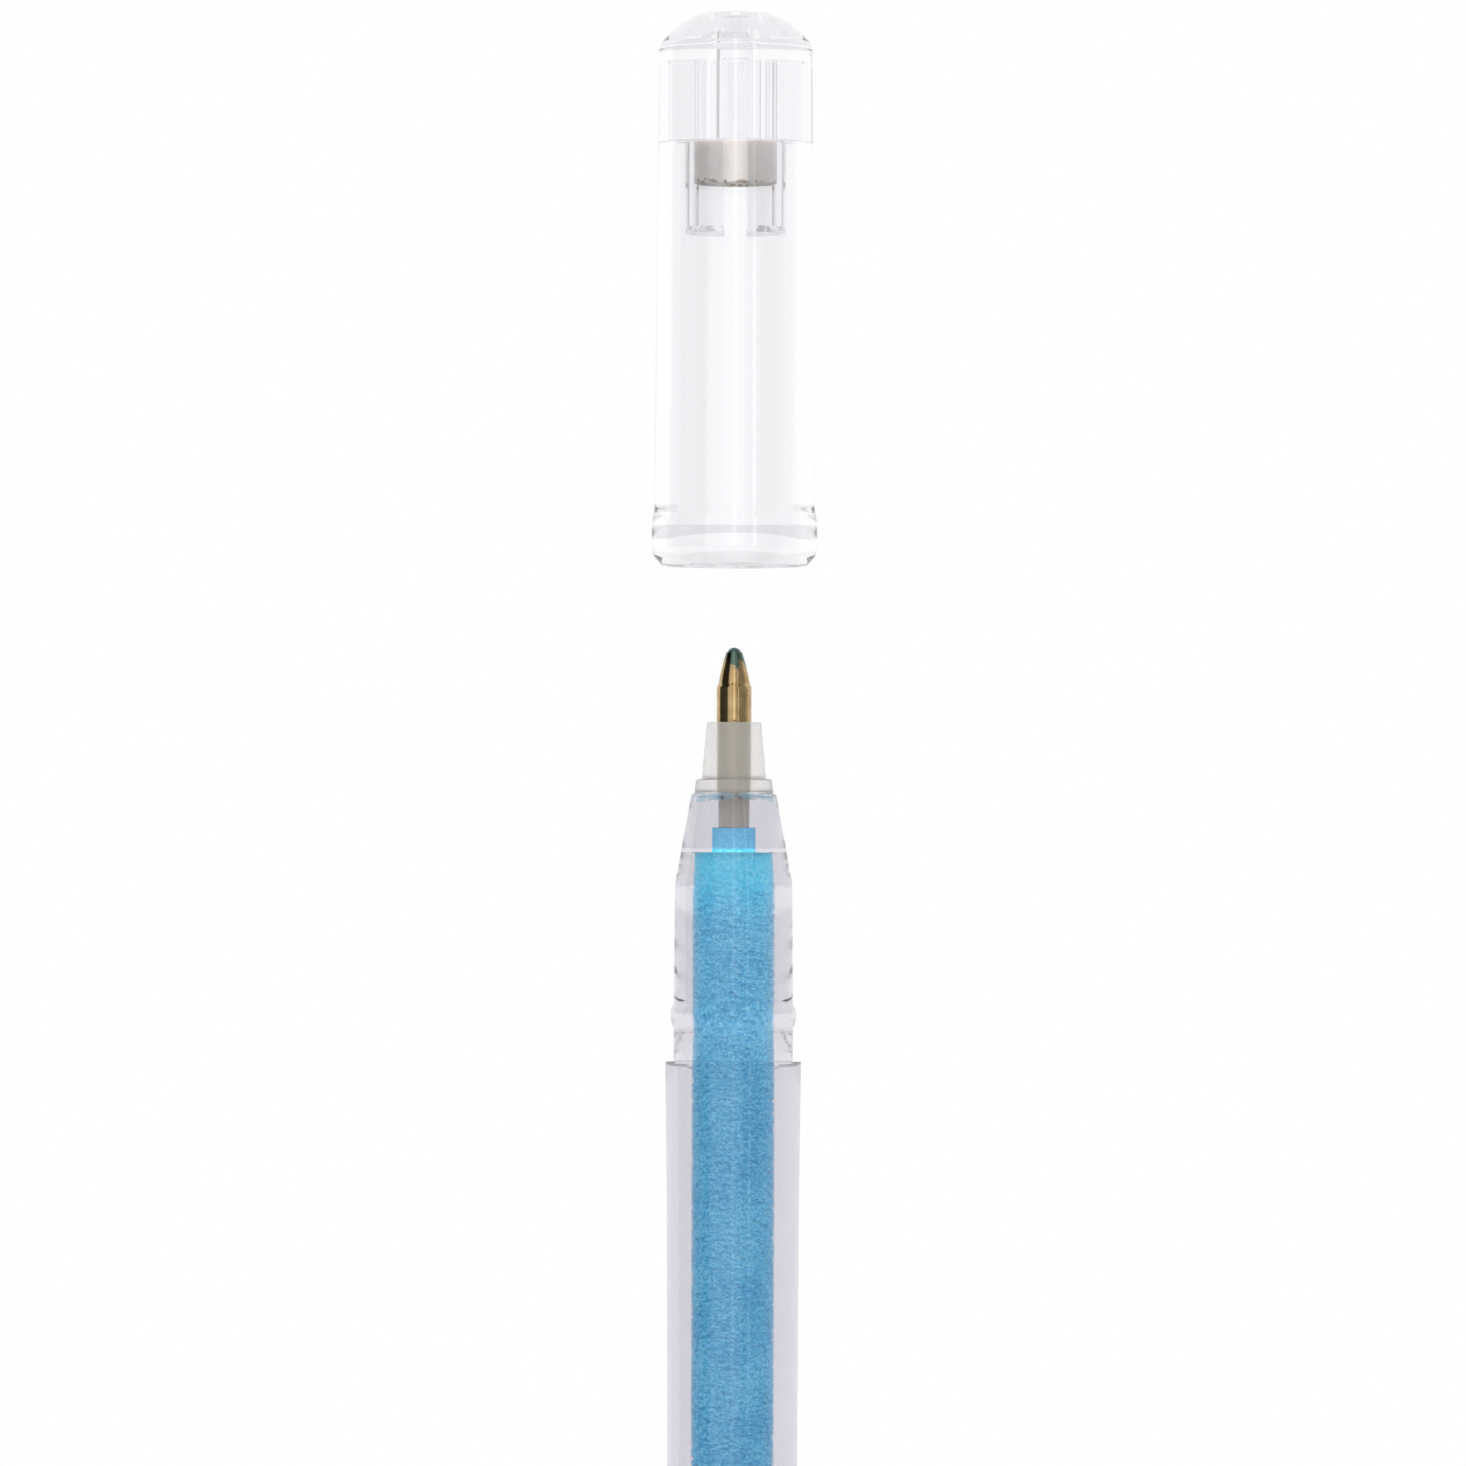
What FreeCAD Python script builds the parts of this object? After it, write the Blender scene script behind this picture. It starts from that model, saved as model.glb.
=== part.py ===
import FreeCAD, Part
import os
import Sketcher
from FreeCAD import Placement, Rotation, Vector

# A capped gel pen, standing on its rear end with the writing tip up. +Z runs along the pen,
# z = 0 is the rear face, and the clear cap is held above the tip, ready to be put on.
# Every length is in millimetres. Heights of the pen build up from the rear face, and heights
# of the cap build down from its crown.

os.makedirs("parts", exist_ok=True)
document = FreeCAD.newDocument("gel_pen")

drivingSizes = {
    # barrel, outside
    "barrel_length": 125.4,
    "wall": 1.05,               # wall of the straight rear body
    "taper_setback": 50.4,      # barrel front to the start of the straight rear body
    "waist_swell": 0.11,
    "waist_setback": 25.7,      # barrel front to the waist, where the taper eases
    "step_swell": 0.22,
    "step_setback": 17.6,       # barrel front to the step that the cap stops at
    "step_round": 0.12,
    "grip_wall": 0.73,          # wall between the grip and the rear bore
    "grip_draft": 0.07,
    "nose_setback": 5.9,        # barrel front to the foot of the nose cone
    "nose_wall": 1.75,          # wall between the nose and the spigot
    "nose_corner": 0.2,
    "bead_setback": 3.0,        # bead centre, ahead of the step
    "bead_height": 0.2,
    "bead_half_length": 0.8,
    # barrel, inside
    "tube_air_gap": 0.45,
    "pocket_setback": 16.4,     # barrel front to the end of the tube's pocket
    "shoulder_setback": 3.97,   # barrel front to the shoulder that the tube stops on
    "channel_step": 0.05,
    "spigot_depth": 2.4,
    "spigot_wall": 0.29,
    "spigot_clearance": 0.02,
    # end plug
    "plug_head": 3.0,
    "plug_edge": 0.6,
    "plug_floor": 2.0,          # rear barrel face to the tube's foot
    "plug_spigot": 7.0,
    "vent_radius": 0.6,
    # ink tube, its ink and the follower behind it
    "tube_bore": 1.83,
    "tube_wall": 0.9,
    "tube_clearance": 0.02,
    "tail_space": 15.03,        # empty tube behind the follower
    "feed_clearance": 0.05,
    "feed_setback": 0.45,       # front of the ink in the tip, behind the spring's first coil
    "follower_length": 10.0,
    "follower_clearance": 0.02,
    "float_radius": 1.5,
    "float_length": 8.0,
    # tip holder
    "holder_reach": 4.67,       # barrel front to the holder's face
    "holder_land": 0.64,        # width of the holder's face round the tip's collar
    "holder_taper": 0.33,
    "flange_height": 0.93,
    "flange_draft": 0.11,
    "flange_ledge": 0.18,       # nose face left uncovered round the flange
    # tip
    "tip_bore": 0.55,
    "shank_wall": 0.2,
    "collar_height": 0.4,       # how far the collar stands out from the shank
    "collar_length": 2.33,
    "collar_chamfer": 0.2,
    "cone_step": 0.105,
    "cone_length": 2.1,
    "cone_curve": 15.0,
    "lip_wall": 0.03,
    "tip_web": 0.38,            # wall between the ball's socket and the spring's bore
    "crimp_lip": 0.13,
    "crimp_length": 0.4,
    "ink_hole": 0.22,
    "ball_radius": 0.5,
    "ball_clearance": 0.02,
    "ball_stand_out": 0.3,
    # ball spring
    "spring_wire": 0.06,
    "spring_pitch": 0.6,
    "spring_clearance": 0.05,
    # cap
    "cap_gap": 5.35,            # ball apex to the cap's mouth while the cap is off
    "mouth_gap": 0.1,           # cap's mouth to the barrel's step while it is on
    "crown_depth": 8.5,         # crown to the ceiling inside
    "crown_flat": 2.25,
    "dome_radius": 6.3,
    "dome_drop": 2.13,
    "dome_round": 1.0,
    "shoulder_wall": 1.08,
    "skirt_wall": 1.3,
    "lip_band_wall": 1.47,
    "lip_band_height": 3.6,
    "lip_band_taper": 0.6,
    "mouth_chamfer": 0.8,
    "mouth_land": 0.3,
    "lead_in": 0.3,
    "cap_clearance": 0.05,
    "bead_clearance": 0.02,
    "groove_depth": 0.15,
    "groove_half_length": 1.1,
    "collet_wall": 0.56,
    "collet_length": 6.1,
    "collet_chamfer": 0.45,
    "channel_top": 3.2,
    "channel_half_width": 0.78,
    "channel_wall": 0.27,       # wall between the vent and the channels
    "channel_overrun": 0.05,
    "notch_height": 0.5,
    "notch_half_width": 0.3,
    "vent_narrow_radius": 1.08,
    "vent_rim": 0.07,
    "vent_swell": 0.22,
    "vent_rim_depth": 1.15,
    "vent_wide_depth": 2.0,
    "vent_narrow_depth": 2.5,
    # tip seal
    "seal_radius": 2.73,
    "seal_gap": 0.03,
    "seal_web": 0.7,
    "seal_clearance": 0.1,
    "seal_side_clearance": 0.12,
}

sheet = document.addObject("Spreadsheet::Sheet", "sizes")
for row, (alias, number) in enumerate(drivingSizes.items(), start=1):
    sheet.set(f"A{row}", alias.replace("_", " "))
    sheet.set(f"B{row}", str(number))
    sheet.setAlias(f"B{row}", alias)
document.recompute()


class Size:
    # A length that carries its value and the sheet expression that gives it.
    def __init__(self, value, text):
        self.value = value
        self.text = text

    def __add__(self, other):
        other = asSize(other)
        return Size(self.value + other.value, f"({self.text} + {other.text})")

    def __sub__(self, other):
        other = asSize(other)
        return Size(self.value - other.value, f"({self.text} - {other.text})")

    def __mul__(self, other):
        other = asSize(other)
        return Size(self.value * other.value, f"({self.text} * {other.text})")

    def __truediv__(self, other):
        other = asSize(other)
        return Size(self.value / other.value, f"({self.text} / {other.text})")


def asSize(number):
    return number if isinstance(number, Size) else Size(float(number), str(number))


def size(alias):
    return Size(drivingSizes[alias], f"sizes.{alias}")


axis = asSize(0)
base = asSize(0)

# Heights of the pen, from the rear face up.
barrelRear = size("plug_head")
barrelFront = barrelRear + size("barrel_length")
stepHeight = barrelFront - size("step_setback")
shoulderHeight = barrelFront - size("shoulder_setback")
spigotFoot = barrelFront - size("spigot_depth")
tubeFoot = barrelRear + size("plug_floor")
greaseFoot = tubeFoot + size("tail_space")
inkFoot = greaseFoot + size("follower_length")
holderFace = barrelFront + size("holder_reach")
collarFront = holderFace + size("collar_length")
coneFoot = collarFront + size("collar_chamfer")
lipHeight = coneFoot + size("cone_length")
apexHeight = lipHeight + size("ball_stand_out")
ballHeight = apexHeight - size("ball_radius")
springBoreTop = ballHeight - size("ball_radius") - size("tip_web")
springFoot = spigotFoot + size("crimp_length") + size("spring_wire")

# Heights of the cap. The seal sets its length: with the cap's mouth just off the barrel's
# step, the ball's apex stands a seal clearance short of the floor of the seal's recess.
seatDepth = size("crown_depth") + size("seal_web") + size("seal_clearance")
capLength = seatDepth + (apexHeight - stepHeight) - size("mouth_gap")
mouthHeight = apexHeight + size("cap_gap")
crownHeight = mouthHeight + capLength
ceilingHeight = crownHeight - size("crown_depth")

# Radii of the pen, from the ink out.
tubeRadius = size("tube_bore") + size("tube_wall")
pocketRadius = tubeRadius + size("tube_clearance")
boreRadius = pocketRadius + size("tube_air_gap")
bodyRadius = boreRadius + size("wall")
stepRadius = bodyRadius + size("step_swell")
gripRadius = boreRadius + size("grip_wall")
beadRadius = gripRadius + size("bead_height")

# Radii of the tip and its holder, from the spring out.
springRadius = size("tip_bore") - size("spring_clearance") - size("spring_wire")
shankRadius = size("tip_bore") + size("shank_wall")
collarRadius = shankRadius + size("collar_height")
coneRadius = collarRadius - size("cone_step")
lipRadius = size("ball_radius") + size("lip_wall")
spigotRadius = shankRadius + size("spigot_wall")
channelRadius = spigotRadius - size("channel_step")
holderFaceRadius = collarRadius + size("holder_land")
holderFootRadius = holderFaceRadius + size("holder_taper")
noseRadius = spigotRadius + size("nose_wall")
flangeRadius = noseRadius - size("flange_ledge")

# Radii of the cap, from the grip out and from the seal out.
capBore = gripRadius + size("cap_clearance")
mouthBore = beadRadius + size("bead_clearance")
grooveRadius = mouthBore + size("groove_depth")
colletBore = size("seal_radius") + size("seal_gap")
colletRadius = colletBore + size("collet_wall")


def originPlane(body, role):
    return next(plane for plane in body.Origin.OriginFeatures if plane.Role == role)


def newSketch(body, name, role):
    sketch = body.newObject("Sketcher::SketchObject", name)
    sketch.AttachmentSupport = [(originPlane(body, role), "")]
    sketch.MapMode = "FlatFace"
    return sketch


def bind(sketch, constraint, name, length):
    index = sketch.addConstraint(constraint)
    sketch.renameConstraint(index, name)
    sketch.setExpression(f"Constraints.{name}", length.text)


def placePoint(sketch, geometry, end, name, across, up):
    # Ties one sketch point to its distance across and up from the origin.
    if across.value == 0:
        sketch.addConstraint(Sketcher.Constraint("PointOnObject", geometry, end, -2))
    else:
        pull = Sketcher.Constraint("DistanceX", -1, 1, geometry, end, across.value)
        bind(sketch, pull, f"across_{name}", across)
    if up.value == 0:
        sketch.addConstraint(Sketcher.Constraint("PointOnObject", geometry, end, -1))
    else:
        pull = Sketcher.Constraint("DistanceY", -1, 1, geometry, end, up.value)
        bind(sketch, pull, f"up_{name}", up)


def flatPoint(corner):
    return Vector(corner[0].value, corner[1].value, 0)


def bulgeArc(start, end, radius):
    # The short arc from start to end. A positive radius bulges to the right of the way
    # there, which is outwards on an outline drawn counter-clockwise.
    chord = end - start
    half = chord.Length / 2
    toLeft = Vector(-chord.y, chord.x, 0).normalize()
    rise = (radius.value ** 2 - half ** 2) ** 0.5
    side = 1 if radius.value > 0 else -1
    centre = start + chord * 0.5 + toLeft * (side * rise)
    middle = centre - toLeft * radius.value
    return Part.Arc(start, middle, end)


def drawOutline(sketch, corners):
    # corners: (radius, height) for a straight run to the next corner, or
    # (radius, height, arc radius) for a round one.
    count = len(corners)
    ends = []
    for number, corner in enumerate(corners):
        start = flatPoint(corner)
        end = flatPoint(corners[(number + 1) % count])
        if len(corner) == 2:
            sketch.addGeometry(Part.LineSegment(start, end), False)
            ends.append((1, 2))
            continue
        geometry = sketch.addGeometry(bulgeArc(start, end, corner[2]), False)
        # an arc is kept counter-clockwise, so its own first end may be the outline's last
        forward = sketch.getPoint(geometry, 1).isEqual(start, 1e-6)
        ends.append((1, 2) if forward else (2, 1))
    for number in range(count):
        following = (number + 1) % count
        joint = ("Coincident", number, ends[number][1], following, ends[following][0])
        sketch.addConstraint(Sketcher.Constraint(*joint))
    for number, corner in enumerate(corners):
        placePoint(sketch, number, ends[number][0], str(number), corner[0], corner[1])
        if len(corner) == 3:
            bow = corner[2] if corner[2].value > 0 else axis - corner[2]
            pull = Sketcher.Constraint("Radius", number, bow.value)
            bind(sketch, pull, f"arc_{number}", bow)


def turned(label, corners):
    # A body turned about Z from a closed outline in the XZ plane.
    body = document.addObject("PartDesign::Body", label)
    sketch = newSketch(body, f"{label}_outline", "XZ_Plane")
    drawOutline(sketch, corners)
    turn = body.newObject("PartDesign::Revolution", f"{label}_turn")
    turn.Profile = sketch
    turn.ReferenceAxis = (sketch, ["V_Axis"])
    turn.Angle = 360
    document.recompute()
    return body


def ringPocket(body, name, corners, top, depth, count):
    # A pocket cut down from a height, repeated round the axis. Its corners are (x, y).
    sketch = newSketch(body, f"{name}_outline", "XY_Plane")
    sketch.setExpression("AttachmentOffset.Base.z", top.text)
    left, low, right, high = corners
    walk = ((left, low), (right, low), (right, high), (left, high))
    for number, start in enumerate(walk):
        end = walk[(number + 1) % 4]
        sketch.addGeometry(Part.LineSegment(flatPoint(start), flatPoint(end)), False)
    for number in range(4):
        joint = ("Coincident", number, 2, (number + 1) % 4, 1)
        sketch.addConstraint(Sketcher.Constraint(*joint))
    for number, kind in enumerate(("Horizontal", "Vertical", "Horizontal", "Vertical")):
        sketch.addConstraint(Sketcher.Constraint(kind, number))
    placePoint(sketch, 0, 1, "low", left, low)
    placePoint(sketch, 1, 2, "high", right, high)
    before = body.Shape.Volume
    pocket = body.newObject("PartDesign::Pocket", name)
    pocket.Profile = sketch
    pocket.Type = "Length"
    pocket.setExpression("Length", depth.text)
    document.recompute()
    oneCut = before - body.Shape.Volume
    pattern = body.newObject("PartDesign::PolarPattern", f"{name}_ring")
    pattern.Originals = [pocket]
    pattern.Axis = (sketch, ["N_Axis"])
    pattern.Angle = 360
    pattern.Occurrences = count
    body.Tip = pattern
    document.recompute()
    allCuts = before - body.Shape.Volume
    if oneCut <= 0 or abs(allCuts - count * oneCut) > 0.02 * allCuts:
        raise RuntimeError(f"{name} cuts {oneCut:.4f} once and {allCuts:.4f} in all")


def edgeAt(shape, radius, height):
    # The name of the round edge with this radius at this height.
    for number, edge in enumerate(shape.Edges, start=1):
        curve = edge.Curve
        if not isinstance(curve, Part.Circle):
            continue
        if abs(curve.Radius - radius.value) < 1e-4 and abs(curve.Center.z - height.value) < 1e-4:
            return f"Edge{number}"
    raise RuntimeError(f"no edge of radius {radius.value} at height {height.value}")


def rounded(body, name, radius, places):
    # Rounds the body's circular edges at the given (radius, height) places.
    tip = body.Tip
    edges = [edgeAt(tip.Shape, place[0], place[1]) for place in places]
    fillet = body.newObject("PartDesign::Fillet", name)
    fillet.Base = (tip, edges)
    fillet.setExpression("Radius", radius.text)
    document.recompute()


def makeBarrel():
    # Frosted one-piece barrel: nose cone, grip with a snap bead, step and long rear body.
    beadHeight = stepHeight + size("bead_setback")
    beadFront = beadHeight + size("bead_half_length")
    beadRear = beadHeight - size("bead_half_length")
    grip = gripRadius
    # arc through the bead's foot, crest and foot: (half length^2 + height^2) / (2 height)
    halfSquared = size("bead_half_length") * size("bead_half_length")
    heightSquared = size("bead_height") * size("bead_height")
    beadCurve = (halfSquared + heightSquared) / (size("bead_height") * 2)
    pocketRear = barrelFront - size("pocket_setback")
    spigotHole = spigotRadius + size("spigot_clearance")
    body = turned("barrel", [
        (boreRadius, barrelRear),
        (bodyRadius, barrelRear),
        (bodyRadius, barrelFront - size("taper_setback")),
        (bodyRadius + size("waist_swell"), barrelFront - size("waist_setback")),
        (stepRadius, stepHeight),
        (grip, stepHeight),
        (grip, beadRear, beadCurve),
        (grip, beadFront),
        (grip - size("grip_draft"), barrelFront - size("nose_setback")),
        (noseRadius, barrelFront),
        (spigotHole, barrelFront),
        (spigotHole, spigotFoot),
        (channelRadius, spigotFoot),
        (channelRadius, shoulderHeight),
        (pocketRadius, shoulderHeight),
        (pocketRadius, pocketRear),
        (boreRadius, pocketRear),
    ])
    rounded(body, "nose_round", size("nose_corner"), [(noseRadius, barrelFront)])
    rounded(body, "step_rounding", size("step_round"), [(stepRadius, stepHeight)])


def makeEndPlug():
    # Rear plug: it closes the barrel, holds the ink tube's tail and lets air in behind it.
    spigotTop = barrelRear + size("plug_spigot")
    body = turned("end_plug", [
        (size("vent_radius"), base),
        (bodyRadius, base),
        (bodyRadius, barrelRear),
        (boreRadius, barrelRear),
        (boreRadius, spigotTop),
        (pocketRadius, spigotTop),
        (pocketRadius, tubeFoot),
        (size("vent_radius"), tubeFoot),
    ])
    rounded(body, "plug_rounding", size("plug_edge"), [(bodyRadius, base)])


def makeInkTube():
    turned("ink_tube", [
        (size("tube_bore"), tubeFoot),
        (tubeRadius, tubeFoot),
        (tubeRadius, shoulderHeight),
        (size("tube_bore"), shoulderHeight),
    ])


def makeInkColumn():
    turned("ink_column", [
        (axis, inkFoot),
        (size("tube_bore"), inkFoot),
        (size("tube_bore"), shoulderHeight),
        (axis, shoulderHeight),
    ])


def makeInkFeed():
    # The ink ahead of the tube: the barrel's channel, then the core of the tip's spring.
    coreTop = springBoreTop - size("feed_setback")
    coreRadius = springRadius - size("spring_wire") - size("feed_clearance")
    turned("ink_feed", [
        (axis, shoulderHeight),
        (channelRadius, shoulderHeight),
        (channelRadius, spigotFoot),
        (coreRadius, spigotFoot),
        (coreRadius, coreTop),
        (axis, coreTop),
    ])


def makeFollower():
    # A grease plug seals the rear of the ink, and a float stiffens it.
    greaseRadius = size("tube_bore") - size("follower_clearance")
    floatTop = greaseFoot + size("float_length")
    turned("follower_grease", [
        (size("float_radius"), greaseFoot),
        (greaseRadius, greaseFoot),
        (greaseRadius, inkFoot),
        (axis, inkFoot),
        (axis, floatTop),
        (size("float_radius"), floatTop),
    ])
    turned("follower_float", [
        (axis, greaseFoot),
        (size("float_radius"), greaseFoot),
        (size("float_radius"), floatTop),
        (axis, floatTop),
    ])


def makeTipHolder():
    # Milky holder: a spigot in the barrel's nose, a flange on its face and a tapered neck.
    flangeTop = barrelFront + size("flange_height")
    turned("tip_holder", [
        (shankRadius, spigotFoot),
        (spigotRadius, spigotFoot),
        (spigotRadius, barrelFront),
        (flangeRadius, barrelFront),
        (flangeRadius - size("flange_draft"), flangeTop),
        (holderFootRadius, flangeTop),
        (holderFaceRadius, holderFace),
        (shankRadius, holderFace),
    ])


def makeTipBody():
    # Turned brass tip: a shank pressed into the holder, a collar, and a bowed cone whose
    # lip is rolled over the ball. The socket is cut by a round-ended drill.
    crimpTop = spigotFoot + size("crimp_length")
    crimpRadius = size("tip_bore") - size("crimp_lip")
    body = turned("tip_body", [
        (crimpRadius, spigotFoot),
        (shankRadius, spigotFoot),
        (shankRadius, holderFace),
        (collarRadius, holderFace),
        (collarRadius, collarFront),
        (coneRadius, coneFoot, size("cone_curve")),
        (lipRadius, lipHeight),
        (size("ink_hole"), lipHeight),
        (size("ink_hole"), springBoreTop),
        (size("tip_bore"), springBoreTop),
        (size("tip_bore"), crimpTop),
        (crimpRadius, crimpTop),
    ])
    before = body.Shape.Volume
    socket = body.newObject("PartDesign::SubtractiveSphere", "ball_socket")
    socket.AttachmentSupport = [(originPlane(body, "XY_Plane"), "")]
    socket.MapMode = "FlatFace"
    socket.setExpression("AttachmentOffset.Base.z", ballHeight.text)
    socket.setExpression("Radius", (size("ball_radius") + size("ball_clearance")).text)
    document.recompute()
    if before - body.Shape.Volume <= 0:
        raise RuntimeError("the ball's socket cuts nothing")


def makeBall():
    ball = document.addObject("Part::Sphere", "writing_ball")
    ball.setExpression("Radius", size("ball_radius").text)
    ball.setExpression("Placement.Base.z", ballHeight.text)


def makeSpring():
    # A coil rests on the shank's crimp, and a straight stem from its first turn backs the
    # ball up through the ink hole.
    wire = size("spring_wire")
    coilLength = springBoreTop - wire - springFoot
    coil = document.addObject("Part::Helix", "spring_path")
    coil.LocalCoord = "Right-handed"
    coil.setExpression("Pitch", size("spring_pitch").text)
    coil.setExpression("Height", coilLength.text)
    coil.setExpression("Radius", springRadius.text)
    coil.setExpression("Placement.Base.z", springFoot.text)
    section = document.addObject("Part::Circle", "spring_section")
    section.setExpression("Radius", wire.text)
    section.Placement = Placement(Vector(), Rotation(Vector(1, 0, 0), 90))
    section.setExpression("Placement.Base.x", springRadius.text)
    section.setExpression("Placement.Base.z", springFoot.text)
    spring = document.addObject("Part::Sweep", "ball_spring")
    spring.Sections = [section]
    document.recompute()
    edges = [f"Edge{number + 1}" for number in range(len(coil.Shape.Edges))]
    spring.Spine = (coil, edges)
    spring.Solid = True
    spring.Frenet = True
    document.recompute()


def makeCap():
    # Clear one-piece cap: domed crown with a vent, thick head, seal collet inside, plain
    # bore, and a snap groove behind a wider mouth.
    vent = size("vent_narrow_radius")
    ventRim = vent + size("vent_rim")
    ventWide = vent + size("vent_swell")
    channelInner = vent + size("channel_wall")
    shoulderRadius = capBore + size("shoulder_wall")
    bandRadius = capBore + size("lip_band_wall")
    mouthEdge = mouthBore + size("lead_in")
    bandTop = mouthHeight + size("lip_band_height")
    bandShoulder = bandTop - size("lip_band_taper")
    chamferTop = mouthHeight + size("mouth_chamfer")
    seatedBead = mouthHeight + size("bead_setback") - size("mouth_gap")
    grooveLow = seatedBead - size("groove_half_length")
    grooveHigh = seatedBead + size("groove_half_length")
    colletMouth = ceilingHeight - size("collet_length")
    domeFoot = crownHeight - size("dome_drop")
    body = turned("cap", [
        (mouthEdge, mouthHeight),
        (mouthEdge + size("mouth_land"), mouthHeight),
        (bandRadius, chamferTop),
        (bandRadius, bandShoulder),
        (capBore + size("skirt_wall"), bandTop),
        (shoulderRadius, domeFoot, size("dome_radius")),
        (size("crown_flat"), crownHeight),
        (ventRim, crownHeight),
        (ventRim, crownHeight - size("vent_rim_depth")),
        (ventWide, crownHeight - size("vent_rim_depth")),
        (ventWide, crownHeight - size("vent_wide_depth")),
        (vent, crownHeight - size("vent_narrow_depth")),
        (vent, ceilingHeight),
        (colletBore, ceilingHeight),
        (colletBore, colletMouth + size("collet_chamfer")),
        (colletBore + size("collet_chamfer"), colletMouth),
        (colletRadius, colletMouth),
        (colletRadius, ceilingHeight),
        (capBore, ceilingHeight),
        (capBore, grooveHigh),
        (grooveRadius, seatedBead),
        (mouthBore, grooveLow),
        (mouthBore, mouthHeight + size("lead_in")),
    ])
    shoulder = (shoulderRadius, domeFoot)
    rounded(body, "shoulder_rounding", size("dome_round"), [shoulder])
    halfWidth = size("channel_half_width")
    channelReach = colletRadius + size("channel_overrun")
    channelDrop = size("crown_depth") + size("collet_length") - size("channel_top")
    channel = (channelInner, axis - halfWidth, channelReach, halfWidth)
    channelHeight = crownHeight - size("channel_top")
    ringPocket(body, "air_channel", channel, channelHeight, channelDrop, 4)
    halfNotch = size("notch_half_width")
    notch = (vent - halfNotch, axis - halfNotch, channelInner + halfNotch, halfNotch)
    notchHeight = ceilingHeight + size("notch_height")
    ringPocket(body, "air_notch", notch, notchHeight, size("notch_height"), 4)


def makeTipSeal():
    # Soft seal in the collet, with a recess that closes round the tip's cone.
    recessDepth = size("ball_stand_out") + size("cone_length")
    recessFloor = ceilingHeight - size("seal_web")
    sealMouth = recessFloor - recessDepth
    side = size("seal_side_clearance")
    turned("tip_seal", [
        (coneRadius + side, sealMouth),
        (size("seal_radius"), sealMouth),
        (size("seal_radius"), ceilingHeight),
        (axis, ceilingHeight),
        (axis, recessFloor),
        (lipRadius + side, recessFloor),
    ])


makeBarrel()
makeEndPlug()
makeInkTube()
makeInkColumn()
makeInkFeed()
makeFollower()
makeTipHolder()
makeTipBody()
makeBall()
makeSpring()
makeCap()
makeTipSeal()
document.recompute()

nodeLabels = (
    "barrel",
    "end_plug",
    "ink_tube",
    "ink_column",
    "ink_feed",
    "follower_grease",
    "follower_float",
    "tip_holder",
    "tip_body",
    "writing_ball",
    "ball_spring",
    "cap",
    "tip_seal",
)

for item in document.Objects:
    if "Invalid" in item.State or "Error" in item.State:
        raise RuntimeError(f"{item.Label} failed: {item.State}")
for label in nodeLabels:
    shape = document.getObjectsByLabel(label)[0].Shape
    if shape.isNull() or not shape.isValid():
        raise RuntimeError(f"{label} has no valid shape")
    shape.exportStep(f"parts/{label}.step")
    box = shape.BoundBox
    solids = len(shape.Solids)
    reach = f"z {box.ZMin:.2f} to {box.ZMax:.2f}, radius {box.XMax:.2f}"
    print(f"{label}: {solids} solid, {shape.Volume:.3f} mm3, {reach}")
print(f"cap length {capLength.value:.2f}, travel {(apexHeight - stepHeight).value:.2f}")
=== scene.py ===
import math
import bmesh
import bpy
from mathutils import Matrix, Vector, noise


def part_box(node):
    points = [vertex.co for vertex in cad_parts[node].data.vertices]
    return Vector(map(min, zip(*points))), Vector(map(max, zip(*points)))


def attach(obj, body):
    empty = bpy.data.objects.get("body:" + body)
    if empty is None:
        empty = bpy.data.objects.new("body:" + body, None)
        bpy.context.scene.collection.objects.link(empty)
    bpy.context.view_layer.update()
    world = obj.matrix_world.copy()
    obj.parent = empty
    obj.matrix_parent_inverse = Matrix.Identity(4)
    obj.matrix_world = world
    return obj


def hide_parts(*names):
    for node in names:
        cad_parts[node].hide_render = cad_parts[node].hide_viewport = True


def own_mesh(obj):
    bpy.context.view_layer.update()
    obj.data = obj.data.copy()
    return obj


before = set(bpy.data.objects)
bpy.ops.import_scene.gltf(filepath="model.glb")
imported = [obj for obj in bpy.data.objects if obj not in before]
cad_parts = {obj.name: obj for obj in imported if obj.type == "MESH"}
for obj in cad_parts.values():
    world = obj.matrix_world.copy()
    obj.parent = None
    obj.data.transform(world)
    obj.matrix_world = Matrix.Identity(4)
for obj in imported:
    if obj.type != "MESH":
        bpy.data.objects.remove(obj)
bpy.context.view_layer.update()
mm = 0.001
onAxis = 1e-9    # a radius below this is a point on the axis

# Heights that the CAD frame gives, in metres from the rear face.
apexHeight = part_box("writing_ball")[1][2]
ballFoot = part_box("writing_ball")[0][2]
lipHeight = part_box("tip_body")[1][2]
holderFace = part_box("tip_holder")[1][2]
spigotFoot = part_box("tip_holder")[0][2]
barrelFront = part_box("barrel")[1][2]
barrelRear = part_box("barrel")[0][2]
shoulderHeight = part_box("ink_tube")[1][2]
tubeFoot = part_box("ink_tube")[0][2]
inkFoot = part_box("ink_column")[0][2]
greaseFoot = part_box("follower_grease")[0][2]
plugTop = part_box("end_plug")[1][2]
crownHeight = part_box("cap")[1][2]
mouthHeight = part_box("cap")[0][2]
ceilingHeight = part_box("tip_seal")[1][2]
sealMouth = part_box("tip_seal")[0][2]


def nodeRadius(node):
    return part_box(node)[1][0]


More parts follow.
